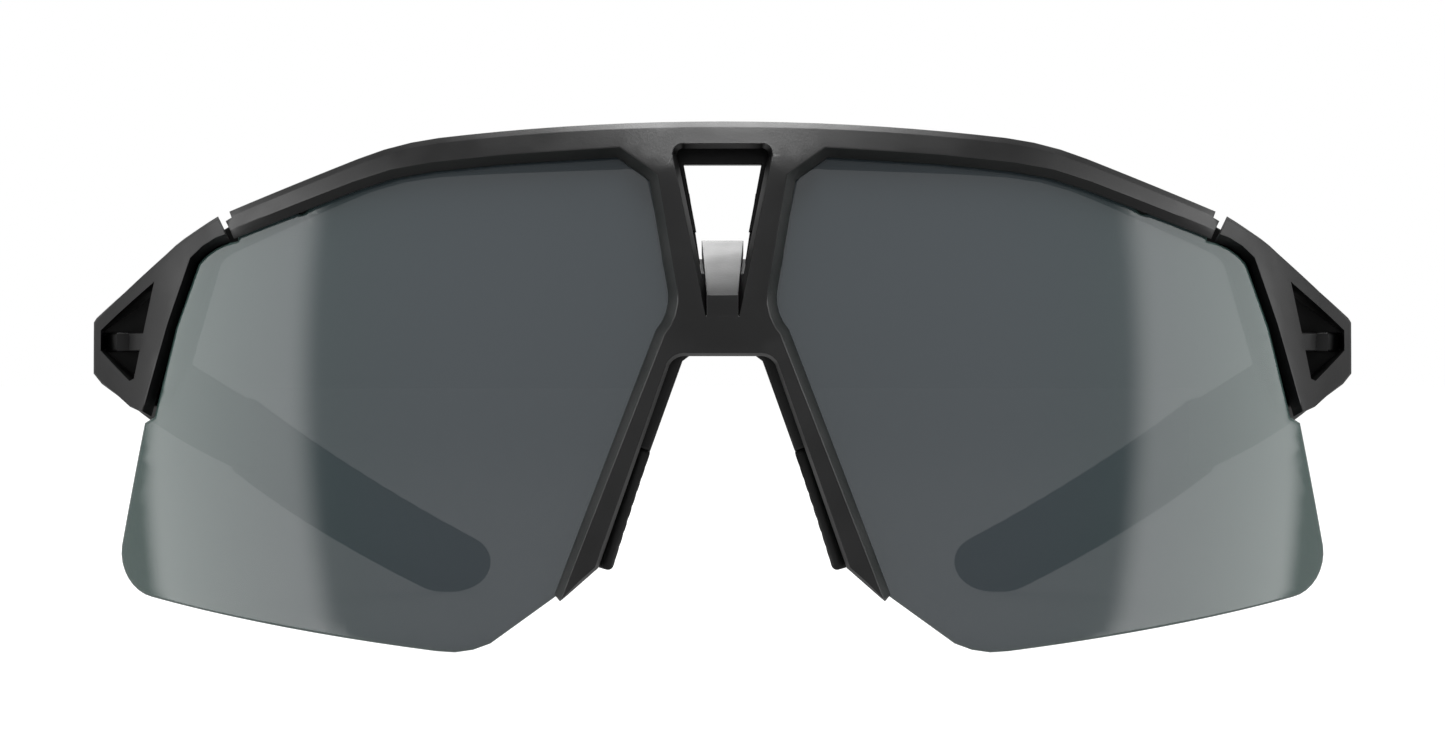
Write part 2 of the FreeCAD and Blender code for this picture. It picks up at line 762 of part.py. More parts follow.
def temple_grip():
    tip, radius = SIZES["tip_centre"], SIZES["tip_radius"]
    profile = temple_side("grip_side_view", [
        (cell("grip_start", 0.1), 27.0),
        (cell("tip_centre", 1.9), cell("tip_radius", 3.52), 54.0, 18.2),
        (cell("tip_centre", -1.9), cell("tip_radius", -3.52), tip + 2.4, radius - 3.2),
        (cell("grip_start", 0.1), 17.3, 54.0, 8.4),
    ])
    body = common("grip_body", even_plan("grip_plan", "grip_half_thick", 14.0, 48.0), profile)
    cavity = common("grip_cavity", even_plan("cavity_plan", "cavity_half_thick", 13.0, 33.4),
                    middle_band("cavity_side", "cavity_half_high", 28.0, 59.6))
    return less("grip", body, cavity)


# ---- hinge hardware ----

def hinge_screw():
    shank = hinge_cylinder("screw_shank", cell("pin_radius", -0.02), cell("hinge_low", 0.2),
                           cell("hinge_high", -0.7))
    head = hinge_cylinder("screw_head", cell("head_radius"), cell("hinge_high", -0.85),
                          cell("hinge_high", -0.05))
    slot = box("screw_slot", (cell("hinge_side", -2), cell("hinge_rear", -0.15), cell("hinge_high", -0.4)),
               (4, 0.3, 1))
    return less("screw", fused("screw_body", shank, head), slot)


def hinge_sleeve():
    outer = hinge_cylinder("sleeve_outer", cell("sleeve_radius", -0.01), cell("knuckle_low"),
                           cell("knuckle_high"))
    inner = hinge_cylinder("sleeve_inner", cell("pin_radius", 0.03), 20, 45)
    return less("sleeve", outer, inner)


def hinge_insert():
    outer = hinge_cylinder("insert_outer", cell("insert_radius", -0.02), cell("hinge_low"),
                           cell("knuckle_low", -0.85))
    inner = hinge_cylinder("insert_inner", cell("pin_radius", 0.01), 20, 45)
    return less("insert", outer, inner)


# ---- the assembly ----

node("shield_lens", shield_lens())
node("front_brace", front_brace())
node("main_frame", main_frame())
node("nose_carrier", nose_carrier())
node("carrier_screws", carrier_screws())
node("brow_pad", brow_pad())

PAIRS = {
    "nose_pad": nose_pad(),
    "temple": temple_arm(),
    "temple_grip": temple_grip(),
    "temple_core": temple_core(),
    "temple_inlay": temple_inlay(),
    "hinge_screw": hinge_screw(),
    "hinge_sleeve": hinge_sleeve(),
    "hinge_insert": hinge_insert(),
}
for piece_name, piece in PAIRS.items():
    node(piece_name + "_left", piece)
    node(piece_name + "_right", mirrored(piece_name + "_mirror", piece))

doc.recompute()
for item in doc.Objects:
    if "Invalid" in item.State or "Error" in item.State:
        raise RuntimeError("%s did not compute" % item.Name)
for name, piece in NODES.items():
    shape = piece.Shape
    if shape.isNull() or not shape.isValid() or not shape.Solids:
        raise RuntimeError("%s has no valid solid" % name)

os.makedirs("parts", exist_ok=True)
for name, piece in NODES.items():
    piece.Shape.exportStep("parts/%s.step" % name)
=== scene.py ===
import math

import bmesh
import bpy
import numpy as np
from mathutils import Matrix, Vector
from mathutils.geometry import delaunay_2d_cdt

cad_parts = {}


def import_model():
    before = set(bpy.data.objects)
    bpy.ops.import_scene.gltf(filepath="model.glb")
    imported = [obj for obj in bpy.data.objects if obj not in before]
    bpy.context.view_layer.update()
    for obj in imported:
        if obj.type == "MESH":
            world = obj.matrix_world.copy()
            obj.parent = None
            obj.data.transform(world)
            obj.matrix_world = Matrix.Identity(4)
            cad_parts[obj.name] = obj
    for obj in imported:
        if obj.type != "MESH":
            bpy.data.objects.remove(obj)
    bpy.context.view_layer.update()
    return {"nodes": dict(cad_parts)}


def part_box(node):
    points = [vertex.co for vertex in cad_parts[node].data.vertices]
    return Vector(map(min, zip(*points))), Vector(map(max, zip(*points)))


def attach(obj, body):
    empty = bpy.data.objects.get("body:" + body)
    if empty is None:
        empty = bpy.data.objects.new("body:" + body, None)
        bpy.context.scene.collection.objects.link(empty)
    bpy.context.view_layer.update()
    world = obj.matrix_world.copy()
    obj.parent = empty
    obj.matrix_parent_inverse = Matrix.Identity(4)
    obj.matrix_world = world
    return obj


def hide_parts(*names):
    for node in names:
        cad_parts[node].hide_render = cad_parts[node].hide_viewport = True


# Wraparound sport sunglasses. All shapes are drawn in millimetres in the CAD frame, +X the
# wearer's left, +Y the rear and Z = 0 the surface that they stand on, and made in metres.

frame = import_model()
MM = 0.001


def extent(node):
    """The lowest and highest corner of a CAD node, in millimetres."""
    low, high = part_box(node)
    return low / MM, high / MM


# ---- the wrap: the faces of every front shell are rings about an upright axis, as in the CAD.
# ---- Their radii are those at the height WRAP_MIDDLE. The front faces of the brace and the
# ---- lugs turn about the axis at FRONT_Y, and all the others about the one at WRAP_Y.

WRAP_Y = 10.0
FRONT_Y = 3.3
WRAP_MIDDLE = 29.0
WRAP_HALF_HEIGHT = 32.0
WRAP_SAG = 2.5
LENS_FRONT = WRAP_Y - extent("shield_lens")[0].y
BRACE_FRONT = 80.28
BRACE_BACK = 84.1
LENS_THICK = 2.0
BRACE_THICK = 2.9
BAR_FRONT = 81.9
BAR_THICK = 3.5
LUG_FRONT = 80.2
LUG_BACK = 78.4
LUG_THICK = 8.4
LUG_REAR = -29.2
CARRIER_THICK = 5.3
EAR_THICK = 1.9
BROW_PAD_FRONT = 78.3
BROW_PAD_THICK = 1.9
TOP = extent("front_brace")[1].z
SHOULDER = (35.0, TOP - 1.9)
SHOULDER_ROUND, SHOULDER_DROP = 4.5, 0.28
BROW_END = (54.5, 48.0)


def shell_y(x, z, axis_y, middle_radius):
    """How far back the surface of a shell lies at a point of the front view."""
    radius = middle_radius - WRAP_SAG * ((z - WRAP_MIDDLE) / WRAP_HALF_HEIGHT) ** 2
    return axis_y - math.sqrt(max(radius * radius - x * x, 0.0))


def wrapped(front, lean=None):
    """Puts a point of a front view, at some depth behind the front of a shell, in space."""
    def place(x, z, depth):
        if lean:
            depth = lean(x, z, depth)
        return Vector((x, shell_y(x, z, WRAP_Y, front - depth), z))
    return place


def thinning(front, back, thickness, lean=None, rear=None):
    """As wrapped(), for a shell whose front face turns about the forward axis. Its depths are
    given for the nominal thickness and shared out between the two faces; no point of its back
    face lies behind rear."""
    def place(x, z, depth):
        if lean:
            depth = lean(x, z, depth)
        ahead = shell_y(x, z, FRONT_Y, front)
        behind = shell_y(x, z, WRAP_Y, back)
        if rear is not None:
            behind = min(behind, rear)
        return Vector((x, ahead + (behind - ahead) * depth / thickness, z))
    return place


def facing(front):
    """Puts a point of a front view, at some depth behind a flat face, in space."""
    def place(x, z, depth):
        return Vector((x, front + depth, z))
    return place


def mirrored_place(place, side):
    """The same place on the left, or its mirror image on the right."""
    def put(u, v, depth):
        at = place(u, v, depth)
        return Vector((side * at.x, at.y, at.z))
    return put


# ---- the temples: their plan is two arcs that meet at the bend ----

ARM_START = -29.0
ARM_OUT = 70.9
ARM_RADIUS = 200.0
ARM_CENTRE_X = ARM_OUT - ARM_RADIUS
GRIP_RADIUS = 112.0
BEND = math.radians(18.0)
GRIP_CENTRE = (ARM_CENTRE_X + (ARM_RADIUS - GRIP_RADIUS) * math.cos(BEND),
               ARM_START + (ARM_RADIUS - GRIP_RADIUS) * math.sin(BEND))
ARM_HALF = 1.7
GRIP_HALF = 2.1


def temple_x(y, offset):
    """How far out a temple lies at a depth y, on the curve at an offset from its middle."""
    if y < ARM_START + (ARM_RADIUS + offset) * math.sin(BEND):
        centre_x, centre_y, radius = ARM_CENTRE_X, ARM_START, ARM_RADIUS + offset
    else:
        centre_x, centre_y, radius = GRIP_CENTRE[0], GRIP_CENTRE[1], GRIP_RADIUS + offset
    return centre_x + math.sqrt(max(radius * radius - (y - centre_y) ** 2, 0.0))


def on_temple(side, outer, lean=None):
    """Puts a point of a side view, at some depth inside a temple's outer face, in space."""
    def place(y, z, depth):
        if lean:
            depth = lean(y, z, depth)
        return Vector((side * temple_x(y, outer - depth), y, z))
    return place


def level(side, top):
    """Puts a point of a plan, at some depth under its top, in space."""
    def place(x, y, depth):
        return Vector((side * x, y, top - depth))
    return place


# ---- outlines ----

def circle_through(a, b, c):
    """The centre and radius of the circle through three points."""
    (ax, ay), (bx, by), (cx, cy) = a, b, c
    d = 2 * (ax * (by - cy) + bx * (cy - ay) + cx * (ay - by))
    squares = [p[0] ** 2 + p[1] ** 2 for p in (a, b, c)]
    x = (squares[0] * (by - cy) + squares[1] * (cy - ay) + squares[2] * (ay - by)) / d
    y = (squares[0] * (cx - bx) + squares[1] * (ax - cx) + squares[2] * (bx - ax)) / d
    return (x, y), math.hypot(ax - x, ay - y)


ARC_STEP = math.radians(11.0)
ARC_CHORD = 3.5
SAME_POINT = 1e-4


def arc(start, via, end):
    """Points on the arc from start, which is left out, to end."""
    (x, y), radius = circle_through(start, via, end)
    a, b, c = (math.atan2(p[1] - y, p[0] - x) for p in (start, via, end))
    turn = (c - a) % (2 * math.pi)
    if (b - a) % (2 * math.pi) > turn:
        turn -= 2 * math.pi
    steps = max(2, round(abs(turn) / ARC_STEP), round(abs(turn) * radius / ARC_CHORD))
    return [(x + radius * math.cos(a + turn * k / steps), y + radius * math.sin(a + turn * k / steps))
            for k in range(1, steps + 1)]


def trace(corners):
    """Corners as (points, widths). Two numbers are a corner, four are an arc's end and a point
    that it goes through, and a lone number is the bevel's share on the edges that follow."""
    points, widths, width = [], [], 1.0
    for corner in corners:
        if isinstance(corner, float):
            width = corner
            continue
        new = arc(points[-1], corner[2:], corner[:2]) if len(corner) == 4 else [corner]
        points += new
        widths += [width] * len(new)
    return points, widths


def with_mirror(points, widths):
    """A half outline from the middle line, and its mirror image."""
    return points + [(-x, z) for x, z in reversed(points)], widths + [widths[-1]] + widths[:0:-1]


def oriented(points, widths, hole=False):
    """The outline with its material on the left of each edge."""
    keep = [k for k in range(len(points)) if math.dist(points[k], points[k - 1]) > SAME_POINT]
    points, widths = [points[k] for k in keep], [widths[k] for k in keep]
    area = sum(a[0] * b[1] - b[0] * a[1] for a, b in zip(points, points[1:] + points[:1]))
    if (area < 0) != hole:
        points = points[::-1]
        widths = [widths[0]] + widths[:0:-1]
    return np.array(points), np.array(widths)


def one_side(corners):
    return oriented(*trace(corners))


def both_sides(corners):
    return oriented(*with_mirror(*trace(corners)))


def hole(corners, mirrored=False):
    """The outline of an opening, which crosses the middle line where it is mirrored."""
    points, widths = trace(corners)
    if mirrored:
        points, widths = with_mirror(points, widths)
    return oriented(points, widths, hole=True)


def disc(x, y, radius, cut=False, width=1.0):
    """A round outline, or the outline of a round hole."""
    corners = [width, (x + radius, y), (x - radius, y, x, y + radius), (x + radius, y, x, y - radius)]
    points, widths = trace(corners)
    return oriented(points[1:], widths[1:], hole=cut)


# ---- plates: closed solids with an edge profile and finely divided faces ----

NEARLY_STRAIGHT = 0.02
REVERSAL_PASSES = 4
ROW_RISE = 0.87
EDGE_GAP = 0.45


def inset(points, widths, distance):
    """The outline moved into the material, each edge by its own share of the distance. An edge
    that comes out reversed is drawn together to its middle."""
    edges = np.roll(points, -1, 0) - points
    lengths = np.linalg.norm(edges, axis=1)[:, None]
    normals = np.column_stack([-edges[:, 1], edges[:, 0]]) / lengths
    shares = np.roll(widths, -1) * distance
    moved = np.empty_like(points)
    for k in range(len(points)):
        n1, n2, s1, s2 = normals[k - 1], normals[k], shares[k - 1], shares[k]
        cross = n1[0] * n2[1] - n1[1] * n2[0]
        if abs(cross) < NEARLY_STRAIGHT:
            moved[k] = points[k] + (n1 + n2) * (s1 + s2) / 2 / (1 + n1 @ n2)
        else:
            corner = ((s1 * n2[1] - s2 * n1[1]) / cross, (s2 * n1[0] - s1 * n2[0]) / cross)
            moved[k] = points[k] + corner
    for _ in range(REVERSAL_PASSES):
        for k in range(len(points)):
            nxt = (k + 1) % len(points)
            if (moved[nxt] - moved[k]) @ edges[k] < 0:
                moved[k] = moved[nxt] = (moved[k] + moved[nxt]) / 2
    return moved


def inside(spots, loops):
    """Which spots lie in the material between the loops."""
    count = np.zeros(len(spots), int)
    for loop in loops:
        for a, b in zip(loop, np.roll(loop, -1, 0)):
            crosses = (a[1] > spots[:, 1]) != (b[1] > spots[:, 1])
            with np.errstate(divide="ignore", invalid="ignore"):
                at = a[0] + (spots[:, 1] - a[1]) * (b[0] - a[0]) / (b[1] - a[1])
            count += crosses & (spots[:, 0] < at)
    return count % 2 == 1


def clear_of(spots, loops, gap):
    """Which spots keep a gap from every edge of the loops."""
    far = np.full(len(spots), np.inf)
    for loop in loops:
        for a, b in zip(loop, np.roll(loop, -1, 0)):
            along = b - a
            share = np.clip((spots - a) @ along / max(along @ along, 1e-12), 0, 1)
            far = np.minimum(far, np.linalg.norm(spots - a - share[:, None] * along, axis=1))
    return far > gap


def material_side(faces, directed):
    """The triangles that lie on the material's side of the directed edges round them."""
    state, owner = {}, {}
    for number, face in enumerate(faces):
        for a, b in zip(face, face[1:] + face[:1]):
            owner[a, b] = number
            if (a, b) in directed:
                state[number] = True
            elif (b, a) in directed:
                state.setdefault(number, False)
    queue = list(state)
    while queue:
        number = queue.pop()
        face = faces[number]
        for a, b in zip(face, face[1:] + face[:1]):
            beyond = owner.get((b, a))
            free = (a, b) not in directed and (b, a) not in directed
            if free and beyond is not None and beyond not in state:
                state[beyond] = state[number]
                queue.append(beyond)
    return [face for number, face in enumerate(faces) if state.get(number)]


def plate(mesh, loops, place, profile, spacing):
    """Adds a closed solid to the mesh. Its loops are as oriented() gives them, its profile is
    (inset, depth) from the front face's edge to the back face's, place() puts each
    (u, v, depth) in space, and spacing is the size of its faces."""
    counts = []
    for points, _ in loops:
        lengths = np.linalg.norm(np.roll(points, -1, 0) - points, axis=1)
        counts.append(np.maximum(1, np.round(lengths / spacing)).astype(int))
    rings = []
    for distance, depth in profile:
        ring = []
        for (points, widths), steps in zip(loops, counts):
            corners = inset(points, widths, distance)
            divided = [corners[k] + (corners[(k + 1) % len(corners)] - corners[k]) * s / n
                       for k, n in enumerate(steps) for s in range(n)]
            ring.append((corners, np.array(divided)))
        rings.append((ring, depth))
    made = []
    for ring, depth in rings:
        made.append([[mesh.verts.new(place(u, v, depth)) for u, v in divided] for _, divided in ring])
    for front, back in zip(made, made[1:]):
        for a, b in zip(front, back):
            for k in range(len(a)):
                nxt = (k + 1) % len(a)
                mesh.faces.new((a[k], a[nxt], b[nxt], b[k]))
    for which in (0, -1):
        ring, depth = rings[which]
        verts = [v for loop in made[which] for v in loop]
        edge_spots = np.concatenate([divided for _, divided in ring])
        outlines = [divided for _, divided in ring]
        low, high = edge_spots.min(0), edge_spots.max(0)
        across = np.arange(low[0] + spacing / 2, high[0], spacing)
        up = np.arange(low[1] + spacing / 2, high[1], spacing * ROW_RISE)
        grid = np.array([(x + (spacing / 2 if row % 2 else 0), z)
                         for row, z in enumerate(up) for x in across]).reshape(-1, 2)
        if len(grid):
            grid = grid[inside(grid, outlines)]
        if len(grid):
            grid = grid[clear_of(grid, outlines, spacing * EDGE_GAP)]
        spots = np.concatenate([edge_spots, grid.reshape(-1, 2)])
        fixed, start = [], 0
        for divided in outlines:
            fixed += [(start + k, start + (k + 1) % len(divided)) for k in range(len(divided))]
            start += len(divided)
        out, _, faces, origin, _, _ = delaunay_2d_cdt([Vector(s) for s in spots], fixed, [], 0, 1e-6)
        known, renumbered = {}, {}
        for number, given in enumerate(origin):
            renumbered.update((k, number) for k in given)
            if given and given[0] < len(verts):
                known[number] = verts[given[0]]
            else:
                known[number] = mesh.verts.new(place(out[number].x, out[number].y, depth))
        directed = {(renumbered[a], renumbered[b]) for a, b in fixed if renumbered[a] != renumbered[b]}
        for face in material_side([tuple(f) for f in faces], directed):
            mesh.faces.new([known[k] for k in face])


def rounded(radius, steps):
    """A quarter round at the front edge, as (inset, depth) pairs."""
    turns = [math.pi / 2 * k / steps for k in range(steps + 1)]
    return [(radius * (1 - math.sin(t)), radius * (1 - math.cos(t))) for t in turns]


def soft_edges(thickness, front, back, steps=3):
    """A profile that is rounded at both faces, with a radius for each."""
    behind = [(w, thickness - d) for w, d in reversed(rounded(back, steps))]
    return rounded(front, steps) + behind


SHARP = math.radians(38.0)
WELD = 0.004


def piece(name, mesh, material, body, nodes):
    """Makes an object of a mesh drawn in millimetres, on its body, in place of CAD nodes."""
    bmesh.ops.remove_doubles(mesh, verts=mesh.verts, dist=WELD)
    bmesh.ops.dissolve_degenerate(mesh, edges=mesh.edges, dist=WELD / 4)
    loose = [v for v in mesh.verts if not v.link_faces]
    bmesh.ops.delete(mesh, geom=loose, context="VERTS")
    bmesh.ops.recalc_face_normals(mesh, faces=mesh.faces)
    bmesh.ops.scale(mesh, vec=(MM, MM, MM), verts=mesh.verts)
    data = bpy.data.meshes.new(name)
    mesh.to_mesh(data)
    mesh.free()
    data.polygons.foreach_set("use_smooth", [True] * len(data.polygons))
    data.set_sharp_from_angle(angle=SHARP)
    made = bpy.data.objects.new(name, data)
    bpy.context.scene.collection.objects.link(made)
    data.materials.append(material)
    weighted = made.modifiers.new("weighted_normals", "WEIGHTED_NORMAL")
    weighted.keep_sharp = True
    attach(made, body)
    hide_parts(*nodes)
    return made


# ---- materials ----

def nodes_of(name):
    """A new material, its node tree and its shader."""
    material = bpy.data.materials.new(name)
    material.use_nodes = True
    tree = material.node_tree
    return material, tree, tree.nodes["Principled BSDF"]


def add(tree, kind, settings=None, **inputs):
    """A node with its input values, by name or as i0, i1 and so on by number; a value that is
    a socket is linked."""
    made = tree.nodes.new(kind)
    for key, value in (settings or {}).items():
        setattr(made, key, value)
    for key, value in inputs.items():
        socket = made.inputs[int(key[1:])] if key[0] == "i" and key[1:].isdigit() else made.inputs[key]
        if isinstance(value, bpy.types.NodeSocket):
            tree.links.new(value, socket)
        else:
            socket.default_value = value
    return made


def noise(tree, scale, detail=3.0):
    place = add(tree, "ShaderNodeTexCoord").outputs["Object"]
    return add(tree, "ShaderNodeTexNoise", Vector=place, Scale=scale, Detail=detail,
               Roughness=0.55).outputs["Fac"]


def ranged(tree, value, low, high, start=0.3, end=0.7):
    """Goes smoothly from low to high as the value goes from start to end."""
    made = add(tree, "ShaderNodeMapRange", {"interpolation_type": "SMOOTHSTEP"}, i0=value)
    for key, number in ((1, start), (2, end), (3, low), (4, high)):
        made.inputs[key].default_value = number
    return made.outputs[0]


def mixed(tree, factor, a, b):
    made = add(tree, "ShaderNodeMix", {"data_type": "RGBA"}, i0=factor)
    made.inputs[6].default_value = (*a, 1)
    made.inputs[7].default_value = (*b, 1)
    return made.outputs[2]


def calculated(tree, operation, *values):
    """The result of one step of arithmetic on sockets and numbers."""
    inputs = {f"i{number}": value for number, value in enumerate(values)}
    return add(tree, "ShaderNodeMath", {"operation": operation}, **inputs).outputs[0]


# Painted edge highlight: where it starts and is full (by Pointiness), and how much lighter it makes the
# colour.
EDGE_STARTS, EDGE_FULL = 0.51, 0.58
EDGE_HIGHLIGHT_TIMES, EDGE_HIGHLIGHT_ADDS = 2.6, 0.01
GLOSS_SPREAD = 0.06
EDGE_GLOSS = 0.1


def moulded(name, colour, roughness, grain=0.3, grain_scale=3200.0, coat=0.0, edge_highlight=0.35, shine=0.5):
    """Moulded plastic or rubber: fine spark-eroded grain, uneven gloss, and sharp edges that are a
    little glossier and carry a painted highlight (a lighter colour).
    """
    material, tree, shader = nodes_of(name)
    pointed = add(tree, "ShaderNodeNewGeometry").outputs["Pointiness"]
    # Painted highlight: sharp convex edges (high Pointiness) get a lighter base colour and a little
    # less roughness.
    edge_highlight_mask = ranged(tree, pointed, 0.0, edge_highlight, EDGE_STARTS, EDGE_FULL)
    base = mixed(tree, edge_highlight_mask, colour, tuple(c * EDGE_HIGHLIGHT_TIMES + EDGE_HIGHLIGHT_ADDS for c in colour))
    cloud = noise(tree, 140.0)
    tree.links.new(base, shader.inputs["Base Color"])
    gloss = calculated(tree, "SUBTRACT",
                       ranged(tree, cloud, roughness - GLOSS_SPREAD, roughness + GLOSS_SPREAD),
                       ranged(tree, edge_highlight_mask, 0.0, EDGE_GLOSS, 0.0, 1.0))
    tree.links.new(gloss, shader.inputs["Roughness"])
    pores = noise(tree, grain_scale, 2.0)
    bump = add(tree, "ShaderNodeBump", Strength=grain, Distance=0.00003, Height=pores)
    tree.links.new(bump.outputs[0], shader.inputs["Normal"])
    shader.inputs["Specular IOR Level"].default_value = shine
    shader.inputs["Coat Weight"].default_value = coat
    shader.inputs["Coat Roughness"].default_value = 0.12
    return material


def metal(name, colour, roughness):
    """Turned metal with fine tool marks."""
    material, tree, shader = nodes_of(name)
    shader.inputs["Metallic"].default_value = 1.0
    marks = noise(tree, 900.0, 4.0)
    darker = tuple(c * 0.72 for c in colour)
    tree.links.new(mixed(tree, marks, colour, darker), shader.inputs["Base Color"])
    tree.links.new(ranged(tree, marks, roughness - 0.08, roughness + 0.12), shader.inputs["Roughness"])
    lines = add(tree, "ShaderNodeTexWave", {"wave_type": "RINGS", "rings_direction": "Z"},
                Vector=add(tree, "ShaderNodeTexCoord").outputs["Object"], Scale=2600.0, Distortion=0.6)
    bump = add(tree, "ShaderNodeBump", Strength=0.15, Distance=0.00002, Height=lines.outputs["Fac"])
    tree.links.new(bump.outputs[0], shader.inputs["Normal"])
    return material


TINT_FACE_ON = (0.050, 0.066, 0.077)
TINT_EDGE_ON = (0.052, 0.096, 0.086)
LENS_OPACITY = 0.82


def smoke_lens():
    """Tinted polycarbonate: mostly absorbs, with a thin coating that turns green off its axis."""
    material, tree, shader = nodes_of("smoke_polycarbonate")
    slant = add(tree, "ShaderNodeLayerWeight", Blend=0.5).outputs["Facing"]
    tint = mixed(tree, ranged(tree, slant, 0.0, 1.0, 0.05, 0.5), TINT_FACE_ON, TINT_EDGE_ON)
    tree.links.new(tint, shader.inputs["Base Color"])
    haze = noise(tree, 60.0)
    tree.links.new(ranged(tree, haze, 0.055, 0.075), shader.inputs["Roughness"])
    shader.inputs["IOR"].default_value = 1.56
    shader.inputs["Alpha"].default_value = LENS_OPACITY
    return material


BLACK = (0.0075, 0.0075, 0.0077)
MATERIALS = {
    "brace": moulded("brace_satin_black", BLACK, 0.37),
    "frame": moulded("frame_satin_black", BLACK, 0.37, shine=0.26),
    "carrier": moulded("carrier_black", (0.014, 0.014, 0.0143), 0.44, grain=0.2),
    "temple": moulded("temple_satin_black", (0.0125, 0.0125, 0.0128), 0.48),
    "pad": moulded("pad_rubber_black", (0.006, 0.006, 0.006), 0.62,
                   grain=0.5, grain_scale=2400.0, edge_highlight=0.2),
    "grip": moulded("grip_rubber_black", (0.009, 0.009, 0.0092), 0.66,
                    grain=0.55, grain_scale=2200.0, edge_highlight=0.25),
    "inlay": moulded("inlay_gloss_black", (0.018, 0.0185, 0.019), 0.22, grain=0.08, coat=0.6),
    "lens": smoke_lens(),
    "steel": metal("screw_steel", (0.62, 0.62, 0.64), 0.3),
    "core": metal("core_wire_steel", (0.5, 0.5, 0.52), 0.36),
    "brass": metal("turned_brass", (0.72, 0.54, 0.26), 0.3),
}


# ---- the front: lens, brace, rear frame ----

PEG = (46.0, 48.4)
PEG_RADIUS, PEG_HOLE_RADIUS = 0.8, 0.9
PEG_REAR, PEG_LONG = -53.0, 6.5
BEVEL = 1.12


def brow_top(x):
    """The height of the top edge of the brow, before its shoulder is rounded."""
    side, height = SHOULDER
    if abs(x) > side:
        return height - (abs(x) - side) * (height - BROW_END[1]) / (BROW_END[0] - side)
    (_, centre_z), radius = circle_through((-side, height), (0.0, TOP), (side, height))
    return centre_z + math.sqrt(radius ** 2 - x ** 2)


def brow_line(drop, width=1.0):
    """The top edge from the middle round the shoulder, a little below the brow's own."""
    side, height = SHOULDER
    before, beyond = side - SHOULDER_ROUND, side + SHOULDER_ROUND
    return [
        width,
        (0.0, TOP - drop),
        (before, brow_top(before) - drop, before / 2, brow_top(before / 2) - drop),
        (beyond, brow_top(beyond) - drop, side, height - SHOULDER_DROP - drop),
    ]


def peg_holes(width=1.0):
    """The holes that the brace's snap pegs go through."""
    return [disc(side * PEG[0], PEG[1], PEG_HOLE_RADIUS, True, width) for side in (1, -1)]


def shield_lens():
    """The lens in one piece, with its nose notch and its vent, and narrow eased edges."""
    mesh = bmesh.new()
    outline = both_sides(brow_line(0.95) + [
        (53.4, 47.5),
        (53.5, 44.7),
        (58.3, 42.3, 57.2, 43.3),
        (61.1, 35.2),
        (63.9, 25.2),
        (65.2, 24.5),
        (68.6, 10.4),
        (64.6, 4.8, 67.9, 6.9),
        (30.8, 0.14, 48.0, 2.2),
        (24.9, 1.1, 27.8, 0.17),
        (17.9, 6.2),
        (16.6, 7.3),
        (14.5, 9.8),
        (7.0, 31.4),
        (5.2, 33.2, 6.5, 32.7),
    ])
    vent = hole([(6.0, 54.1), (3.4, 37.6)], mirrored=True)
    profile = [
        (0.3, 0.0),
        (0.12, 0.06),
        (0.0, 0.25),
        (0.0, LENS_THICK - 0.25),
        (0.12, LENS_THICK - 0.06),
        (0.3, LENS_THICK),
    ]
    plate(mesh, [outline, vent] + peg_holes(), wrapped(LENS_FRONT), profile, 1.4)
    piece("shield_lens_tinted", mesh, MATERIALS["lens"], "front", ["shield_lens"])


CREASE = 51.7
BROW_TILT = 0.32
STEEP = 2.2
TOP_BEVEL = 0.75
TOP_BEVEL_HIGH = 0.9
WINDOW_FLOOR = 38.2
RAMP_FRONT, RAMP_REAR = -76.85, -65.9
RAMP_HALF, RAMP_WIDENS = 1.65, 0.6
RAMP = [
    (-74.6, 35.5),
    (RAMP_FRONT, 35.5),
    (RAMP_FRONT, WINDOW_FLOOR + 0.1),
    (RAMP_REAR, 44.4),
    (RAMP_REAR, 42.8),
    (-74.6, 37.9),
]


def ramp_place(y, z, share):
    """Puts a point of the ramp's side view in space, at a share of the way across it. The ramp
    widens towards the rear."""
    half = RAMP_HALF + RAMP_WIDENS * (y - RAMP_FRONT) / (RAMP_REAR - RAMP_FRONT)
    return Vector((half * (1 - 2 * share), y, z))


def brace_lean(x, z, depth):
    """The brow's face leans back above the crease; the back of the brace doesn't, and the
    bevel along the top is less steep than the one along the lens."""
    below_top = brow_top(x) - z
    if below_top < TOP_BEVEL_HIGH and depth < STEEP:
        depth *= TOP_BEVEL / STEEP
    lean = BROW_TILT * max(0.0, TOP - CREASE - below_top)
    return depth + lean * max(0.0, 1 - depth / BRACE_THICK)


def front_brace():
    """The brow, the two struts, the bridge and the nose legs, with the ramp behind the window
    and the snap pegs."""
    mesh = bmesh.new()
    outline = both_sides(brow_line(0.0, 0.62) + [
        BROW_END,
        0.12,
        (54.2, 47.3),
        (54.95, 46.95),
        (53.9, 44.95),
        1.05,
        (39.6, 49.86),
        (31.2, 51.7, 35.5, 51.03),
        (23.0, 52.4),
        (11.2, 53.0),
        (7.75, 50.5),
        (5.75, 38.6),
        (7.05, 34.7, 6.0, 36.5),
        (17.9, 6.5),
        0.4,
        (17.3, 5.8),
        (16.7, 6.3),
        0.32,
        (13.2, 9.4),
        (5.6, 31.0),
        (3.7, 31.9, 4.9, 31.7),
    ])
    window = hole([0.45, (4.0, 53.95), (4.8, 53.05, 4.65, 53.8), (1.4, 36.6)], mirrored=True)
    profile = [
        (BEVEL, 0.0),
        (0.95, 0.08),
        (0.1, STEEP - 0.25),
        (0.0, STEEP),
        (0.0, BRACE_THICK - 0.2),
        (0.15, BRACE_THICK),
    ]
    shell = thinning(BRACE_FRONT, BRACE_BACK, BRACE_THICK, brace_lean)
    plate(mesh, [outline, window], shell, profile, 1.3)
    plate(mesh, [one_side(RAMP)], ramp_place, soft_edges(1.0, 0.03, 0.03), 0.6)
    for side in (1, -1):
        plate(mesh, [disc(side * PEG[0], PEG[1], PEG_RADIUS)], facing(PEG_REAR - PEG_LONG),
              soft_edges(PEG_LONG, 0.2, 0.3), 1.2)
    piece("front_brace_moulded", mesh, MATERIALS["brace"], "front", ["front_brace"])


